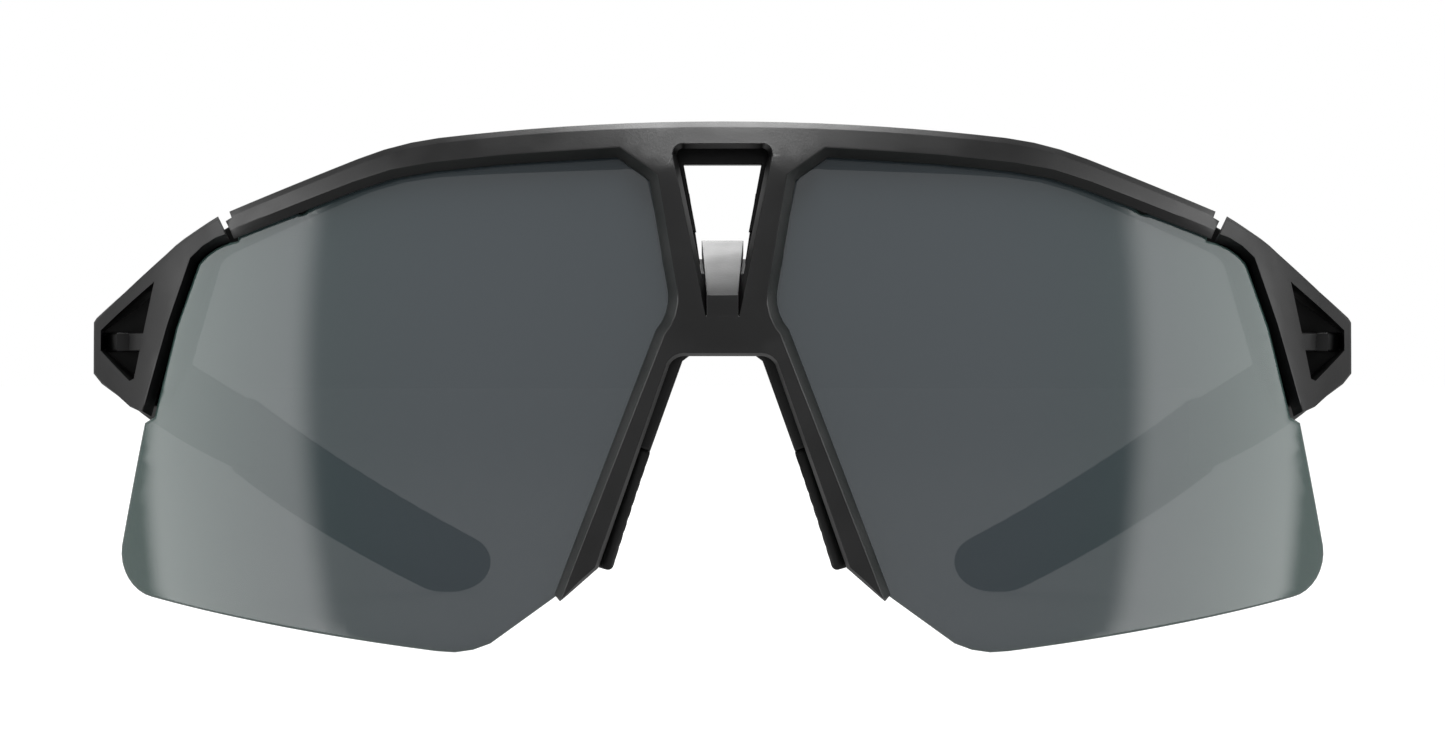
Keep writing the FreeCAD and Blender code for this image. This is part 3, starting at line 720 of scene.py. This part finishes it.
LUG = [
    0.3,
    (55.65, 47.55),
    (60.2, 45.2),
    (62.6, 43.6, 61.4, 44.5),
    (72.3, 36.5),
    (72.7, 36.0),
    (72.7, 30.1),
    (71.5, 28.9),
    (69.2, 27.5),
    (67.6, 26.3),
    (64.6, 25.2),
    1.0,
    (61.2, 35.3),
    (58.4, 42.4),
    (54.1, 44.7, 57.2, 43.4),
    0.15,
]
HINGE_X, HINGE_Y, _ = sum(extent("hinge_sleeve_left"), Vector()) / 2
KNUCKLE = 2.7
TONGUE_LOW, TONGUE_HIGH = 32.6, 34.8
SLEEVE_HOLE, SCREW_HOLE = 1.35, 1.5
RECESS_FLOOR = -30.6
WALL_GAP = 0.1
RIB_FRONT = 78.9
LUG_SWEEP, LUG_SWEEP_TO, LUG_SWEEP_LONG = 0.16, 62.0, 5.0


def main_frame():
    """The rear bar and, on each side, the lug with its recess, its rib and the hinge's tongue."""
    mesh = bmesh.new()
    bar = both_sides(brow_line(1.3) + [
        (54.6, 46.6),
        (61.0, 43.4),
        (66.0, 30.0),
        (64.0, 26.2),
        (62.4, 26.2),
        (60.1, 31.0),
        (56.4, 42.4),
        (54.0, 43.9, 55.5, 43.2),
        (39.6, 49.6),
        (31.0, 51.5, 35.4, 50.9),
        (11.0, 52.0),
        (8.0, 50.6, 9.0, 51.7),
        (6.8, 45.2),
        (2.8, 45.2),
        (4.15, 52.4),
    ])
    plate(mesh, [bar] + peg_holes(0.1), wrapped(BAR_FRONT), soft_edges(BAR_THICK, 0.25, 0.3), 1.4)
    recess = hole([0.12, (64.1, 40.1), (71.4, 35.0), (71.4, 32.8), (67.2, 29.4), (66.7, 29.6)])
    profile = [
        (BEVEL, 0.0),
        (0.95, 0.08),
        (0.12, 2.1),
        (0.0, 2.35),
        (0.0, 4.4),
        (0.0, 6.2),
        (0.0, LUG_THICK - 0.4),
        (0.35, LUG_THICK),
    ]
    wall = [(66.1, 28.9), (67.3, 28.7), (72.0, 32.4), (72.0, 35.3), (63.6, 41.0)]
    rib_face = [(x, shell_y(x, WRAP_MIDDLE, FRONT_Y, RIB_FRONT)) for x in (64.6, 68.2, 71.9)]
    rib = [(71.9, RECESS_FLOOR), (64.6, RECESS_FLOOR), rib_face[0], (*rib_face[2], *rib_face[1])]
    tongue = [(HINGE_X - KNUCKLE, -37.0), (HINGE_X + KNUCKLE, -37.0), (HINGE_X + KNUCKLE, HINGE_Y),
              (HINGE_X - KNUCKLE, HINGE_Y, HINGE_X, HINGE_Y + KNUCKLE)]
    thick = TONGUE_HIGH - TONGUE_LOW
    shell = thinning(LUG_FRONT, LUG_BACK, LUG_THICK, rear=LUG_REAR)

    def swept(x, z, depth):
        """The end that meets the brace runs outwards with depth."""
        near_end = min(1.0, max(0.0, (LUG_SWEEP_TO - x) / LUG_SWEEP_LONG))
        return shell(x, z, depth) + Vector((LUG_SWEEP * depth * near_end, 0.0, 0.0))

    for side in (1, -1):
        plate(mesh, [one_side(LUG), recess], mirrored_place(swept, side), profile, 1.2)
        plate(mesh, [one_side(wall)], mirrored_place(facing(RECESS_FLOOR), side),
              soft_edges(LUG_REAR - RECESS_FLOOR - WALL_GAP, 0.1, 0.1), 1.5)
        plate(mesh, [one_side(rib)], level(side, TONGUE_HIGH), soft_edges(thick, 0.3, 0.3), 1.2)
        plate(mesh, [one_side(tongue), disc(HINGE_X, HINGE_Y, SLEEVE_HOLE, True)],
              level(side, TONGUE_HIGH), soft_edges(thick, 0.2, 0.2), 0.9)
    piece("main_frame_moulded", mesh, MATERIALS["frame"], "front", ["main_frame"])


shield_lens()
front_brace()
main_frame()


# ---- nose carrier and pads ----

CARRIER_HALF = 5.6


def across(y, z, depth):
    """Puts a point of the carrier's side view in space, at some depth from its left end."""
    return Vector((CARRIER_HALF - depth, y, z))


def nose_carrier():
    """A block behind the bridge, with two ears up to the frame and two legs for the pads."""
    mesh = bmesh.new()
    block = [
        (-71.4, 32.0),
        (-71.4, 40.7),
        (-66.0, 42.4),
        (-64.9, 42.4),
        (-64.9, 34.0),
        (-66.2, 32.0),
    ]
    plate(mesh, [one_side(block)], across, soft_edges(CARRIER_HALF * 2, 0.4, 0.4), 1.3)
    ear = [(2.35, 41.5), (3.55, 49.4), (7.2, 49.4), (6.4, 41.5)]
    leg = [
        (6.2, 34.6),
        (15.9, 9.6),
        (15.2, 8.4),
        (14.35, 8.4),
        (9.8, 22.6),
        (7.75, 21.8),
        (4.3, 31.4),
        (3.5, 32.0),
    ]
    for side in (1, -1):
        plate(mesh, [one_side(ear)], mirrored_place(wrapped(BROW_PAD_FRONT), side),
              soft_edges(EAR_THICK, 0.2, 0.5), 1.0)
        plate(mesh, [one_side(leg)], mirrored_place(wrapped(BAR_FRONT), side),
              soft_edges(CARRIER_THICK, 0.3, 0.3), 1.0)
    piece("nose_carrier_moulded", mesh, MATERIALS["carrier"], "front",
          ["nose_carrier"])


PAD_DISH = 0.28
PAD_RIB, PAD_RIB_PITCH = 0.11, 1.5


def nose_pad(side):
    """A soft blade: a full rounded edge, a dished face with moulded ribs across it."""
    mesh = bmesh.new()
    half_long, half_wide, thick = 6.9, 4.2, 1.4
    front_round, rear_round = 0.8, 3.4
    bulge = 1 - math.sqrt(0.5)
    down = Vector((0.309, 0.0, -0.951)).normalized()
    rearward = Vector((0.17, 0.98, 0.0)).normalized()
    inward = rearward.cross(down)
    middle = Vector((11.62, -66.3, 15.9))
    outline = []
    for u_sign, v_sign in ((-1, -1), (1, -1), (1, 1), (-1, 1)):
        radius = front_round if u_sign < 0 else rear_round
        on_side = (u_sign * half_wide, v_sign * (half_long - radius))
        on_end = (u_sign * (half_wide - radius), v_sign * half_long)
        via = (u_sign * (half_wide - bulge * radius), v_sign * (half_long - bulge * radius))
        first, last = (on_side, on_end) if u_sign * v_sign > 0 else (on_end, on_side)
        outline += [first, (*last, *via)]

    def place(u, v, depth):
        reach = max(0.0, 1 - (u / half_wide) ** 2) * max(0.0, 1 - (v / half_long) ** 2)
        front = 1 - depth / thick
        dish = PAD_DISH * reach * front
        ribs = PAD_RIB * math.sin(v * 2 * math.pi / PAD_RIB_PITCH) * min(1.0, reach * 3) * front
        at = middle + rearward * u + down * v + inward * (thick - depth - dish + min(ribs, 0.0))
        return Vector((side * at.x, at.y, at.z))

    plate(mesh, [one_side(outline)], place, soft_edges(thick, 0.6, 0.6, 5), 0.32)
    word = "left" if side > 0 else "right"
    made = piece("nose_pad_soft_" + word, mesh, MATERIALS["pad"], "front",
                 ["nose_pad_" + word])


CHANNEL_DEEP, CHANNEL_WIDE, CHANNEL_PITCH = 0.3, 0.1, 4.6


def brow_pad():
    """A foam-backed strip under the brow, with full edges and a line of shallow channels."""
    mesh = bmesh.new()
    outline = both_sides([
        (0.0, TOP - 2.0),
        (SHOULDER[0], SHOULDER[1] - 0.3 - 1.9, 17.5, TOP - 2.0 - 0.53),
        (51.5, 47.0),
        (50.5, 45.8, 51.5, 46.2),
        (38.5, 50.1),
        (31.0, 51.5, 35.0, 51.0),
        (10.5, 52.4),
        (8.5, 52.6),
    ])

    def lean(x, z, depth):
        """The channels are in the rear face."""
        share = depth / BROW_PAD_THICK
        off_channel = (x / CHANNEL_PITCH + 0.5) % 1 - 0.5
        channel = CHANNEL_DEEP * math.exp(-(off_channel / CHANNEL_WIDE) ** 2)
        return depth - channel * share ** 2

    plate(mesh, [outline], wrapped(BROW_PAD_FRONT, lean), soft_edges(BROW_PAD_THICK, 0.2, 0.45, 4), 0.8)
    made = piece("brow_pad_soft", mesh, MATERIALS["pad"], "front", ["brow_pad"])


nose_carrier()
nose_pad(1)
nose_pad(-1)
brow_pad()


# ---- temples ----

ARM_FRONT = ARM_START + 0.15
ARM_TOP = ((ARM_FRONT, 36.6), (3.0, 32.5), (31.0, 26.4))
SHOULDER_LOW, SHOULDER_HIGH = 30.3, 35.9


def arm_top(y):
    """The height of the arm's top edge at a depth y."""
    (centre_y, centre_z), radius = circle_through(*ARM_TOP)
    rise = math.sqrt(max(radius ** 2 - (y - centre_y) ** 2, 0.0))
    return centre_z + math.copysign(rise, ARM_TOP[1][1] - centre_z)


def temple(side):
    """The arm, the shoulder inside it and the two legs of the fork that holds the hinge screw."""
    word = "left" if side > 0 else "right"
    mesh = bmesh.new()
    arm = [
        ARM_TOP[0],
        (*ARM_TOP[2], *ARM_TOP[1]),
        (31.0, 17.9),
        (-10.0, 26.6),
        (ARM_FRONT, SHOULDER_LOW),
    ]
    plate(mesh, [one_side(arm)], on_temple(side, ARM_HALF),
          soft_edges(2 * ARM_HALF, 0.75, 0.75, 4), 1.3)
    block = [
        (HINGE_X - KNUCKLE, -23.0),
        (70.6, -23.0),
        (70.3, -8.0),
        (68.8, -8.0),
        (HINGE_X - KNUCKLE, -18.5),
    ]
    high = SHOULDER_HIGH - SHOULDER_LOW

    def shoulder(x, y, depth):
        """The block's top stays just under the arm's."""
        top = min(SHOULDER_HIGH, arm_top(y) - 0.3)
        return Vector((side * x, y, top - depth / high * (top - SHOULDER_LOW)))

    plate(mesh, [one_side(block)], shoulder, soft_edges(high, 0.4, 0.4), 1.2)
    link = [(HINGE_X - KNUCKLE, -21.4), (HINGE_X - KNUCKLE, HINGE_Y),
            (HINGE_X + KNUCKLE, HINGE_Y, HINGE_X, HINGE_Y - KNUCKLE), (HINGE_X + KNUCKLE, -21.4)]
    for top, thick in ((TONGUE_LOW - 0.1, 2.1), (ARM_TOP[0][1], 1.7)):
        plate(mesh, [one_side(link), disc(HINGE_X, HINGE_Y, SCREW_HOLE, True)], level(side, top),
              soft_edges(thick, 0.25, 0.25), 0.9)
    piece("temple_arm_" + word, mesh, MATERIALS["temple"], "temple_" + word,
          ["temple_" + word])


TREAD_FROM, TREAD_TO, TREAD_FADE = 37.0, 72.0, 3.0
TREAD_DEEP, TREAD_PITCH, TREAD_SLANT = 0.22, 2.4, 0.45


def grip(side):
    """The rubber tip: rounded all round, with a fine tread on the side that meets the head."""
    word = "left" if side > 0 else "right"
    mesh = bmesh.new()
    outline = [
        (31.1, 27.0),
        (74.9, 7.52, 54.0, 18.2),
        (71.1, 0.48, 75.4, 0.8),
        (31.1, 17.3, 54.0, 8.4),
    ]
    thick = 2 * GRIP_HALF

    def tread(y, z, depth):
        share = max(0.0, depth / thick * 2 - 1)
        starting = min(1.0, max(0.0, (y - TREAD_FROM) / TREAD_FADE))
        ending = min(1.0, max(0.0, (TREAD_TO - y) / TREAD_FADE))
        wave = 0.5 + 0.5 * math.cos((y + TREAD_SLANT * z) * 2 * math.pi / TREAD_PITCH)
        return depth - TREAD_DEEP * wave ** 3 * (starting * ending) * share

    plate(mesh, [one_side(outline)], on_temple(side, GRIP_HALF, tread),
          soft_edges(thick, 1.5, 1.5, 6), 0.55)
    piece("temple_grip_soft_" + word, mesh, MATERIALS["grip"], "temple_" + word,
          ["temple_grip_" + word])


INLAY_THICK, INLAY_PROUD = 0.55, 0.08


def inlay(side):
    """A glossy trim piece let into the outer face of the arm."""
    word = "left" if side > 0 else "right"
    mesh = bmesh.new()
    outline = [(-5.5, 28.4), (-4.0, 31.4), (17.0, 27.4), (19.0, 24.6), (17.0, 23.6)]
    plate(mesh, [one_side(outline)], on_temple(side, ARM_HALF + INLAY_PROUD),
          soft_edges(INLAY_THICK, 0.25, 0.05), 1.0)
    piece("temple_inlay_trim_" + word, mesh, MATERIALS["inlay"], "temple_" + word,
          ["temple_inlay_" + word])


for side in (1, -1):
    temple(side)
    grip(side)
    inlay(side)


# ---- small hardware keeps its CAD shape ----

HARDWARE = {
    "carrier_screws": ("steel", "screw_steel"),
    "hinge_screw": ("steel", "screw_steel"),
    "hinge_sleeve": ("brass", "sleeve_brass"),
    "hinge_insert": ("brass", "insert_brass"),
    "temple_core": ("core", "core_steel"),
}
for name, node in frame["nodes"].items():
    for stem, (material, slot) in HARDWARE.items():
        if name.startswith(stem):
            node.data.materials.clear()
            node.data.materials.append(MATERIALS[material])


# ---- floor, light and camera ----

FLOOR_REACH, FLOOR_GAP = 12.0, 0.0001
FLOOR_GLOW = 0.95
PANEL = 2.7
PANEL_STARTS, PANEL_FULL = 0.925, 0.965
PANEL_BOW = 0.6
ROOM_AHEAD, ROOM = 0.42, 0.28
SOFTBOX_Y, SOFTBOX_HEIGHT, SOFTBOX_SIZE, SOFTBOX_POWER = -0.03, 0.9, (0.45, 1.45), 19.0
CAMERA_HEIGHT, CAMERA_DISTANCE = 29.7 * MM, 0.48
SENSOR_WIDTH, FOCAL_PER_WIDTH = 36.0, 4531.0 / 1445.0


def floor():
    """A pale floor that only the camera sees: it throws no light on the object."""
    mesh = bmesh.new()
    corners = [mesh.verts.new((x * FLOOR_REACH, y * FLOOR_REACH, -FLOOR_GAP))
               for x, y in ((-1, -1), (1, -1), (1, 1), (-1, 1))]
    mesh.faces.new(corners)
    data = bpy.data.meshes.new("floor")
    mesh.to_mesh(data)
    mesh.free()
    made = bpy.data.objects.new("floor", data)
    bpy.context.scene.collection.objects.link(made)
    material, tree, shader = nodes_of("pale_floor")
    output = tree.nodes["Material Output"]
    seen = add(tree, "ShaderNodeLightPath").outputs["Is Camera Ray"]
    shader.inputs["Base Color"].default_value = (0.16, 0.16, 0.16, 1)
    shader.inputs["Roughness"].default_value = 0.55
    shader.inputs["Emission Color"].default_value = (1, 1, 1, 1)
    glow = calculated(tree, "MULTIPLY", seen, FLOOR_GLOW)
    tree.links.new(glow, shader.inputs["Emission Strength"])
    unseen = add(tree, "ShaderNodeBsdfTransparent", Color=(1, 1, 1, 1)).outputs[0]
    both = add(tree, "ShaderNodeMixShader", i0=seen, i1=unseen, i2=shader.outputs[0]).outputs[0]
    tree.links.new(both, output.inputs["Surface"])
    data.materials.append(material)


def world():
    """A dim room, lighter ahead of the object, with a bright panel on either side. The camera
    itself sees plain white."""
    made = bpy.data.worlds.new("studio")
    bpy.context.scene.world = made
    made.use_nodes = True
    tree = made.node_tree
    tree.nodes.clear()
    output = add(tree, "ShaderNodeOutputWorld")
    way = add(tree, "ShaderNodeTexCoord").outputs["Generated"]
    axes = add(tree, "ShaderNodeSeparateXYZ", i0=way)
    sideways = calculated(tree, "ABSOLUTE", axes.outputs["X"])
    upward = calculated(tree, "ABSOLUTE", axes.outputs["Z"])
    squared = calculated(tree, "MULTIPLY", upward, upward)
    bowed = calculated(tree, "MULTIPLY_ADD", squared, PANEL_BOW, sideways)
    beside = ranged(tree, bowed, 0.0, PANEL, PANEL_STARTS, PANEL_FULL)
    low_enough = ranged(tree, upward, 1.0, 0.0, 0.35, 0.55)
    panel = calculated(tree, "MULTIPLY", beside, low_enough)
    room = ranged(tree, axes.outputs["Y"], ROOM_AHEAD, ROOM, -0.85, -0.3)
    strength = calculated(tree, "ADD", panel, room)
    tent = add(tree, "ShaderNodeBackground", Color=(1, 1, 1, 1), Strength=strength).outputs[0]
    seen = add(tree, "ShaderNodeBackground", Color=(1, 1, 1, 1), Strength=1.0).outputs[0]
    direct = add(tree, "ShaderNodeLightPath").outputs["Is Camera Ray"]
    both = add(tree, "ShaderNodeMixShader", i0=direct, i1=tent, i2=seen).outputs[0]
    tree.links.new(both, output.inputs["Surface"])


def softbox():
    """A long light overhead that faces straight down."""
    data = bpy.data.lights.new("overhead", "AREA")
    data.shape = "RECTANGLE"
    data.size, data.size_y = SOFTBOX_SIZE
    data.energy = SOFTBOX_POWER
    made = bpy.data.objects.new("overhead", data)
    made.location = (0.0, SOFTBOX_Y, SOFTBOX_HEIGHT)
    made.rotation_euler = Vector((0.0, 0.0, -1.0)).to_track_quat("-Z", "Y").to_euler()
    made.visible_camera = False
    bpy.context.scene.collection.objects.link(made)


def camera():
    """Level with the middle of the front and straight ahead of it."""
    data = bpy.data.cameras.new("camera")
    data.sensor_width = SENSOR_WIDTH
    data.lens = FOCAL_PER_WIDTH * SENSOR_WIDTH
    data.clip_start = 0.01
    made = bpy.data.objects.new("camera", data)
    made.location = (0.0, extent("shield_lens")[0].y * MM - CAMERA_DISTANCE, CAMERA_HEIGHT)
    made.rotation_euler = (math.radians(90.0), 0.0, 0.0)
    bpy.context.scene.collection.objects.link(made)
    bpy.context.scene.camera = made


floor()
world()
softbox()
camera()
bpy.context.scene.view_settings.view_transform = "Standard"
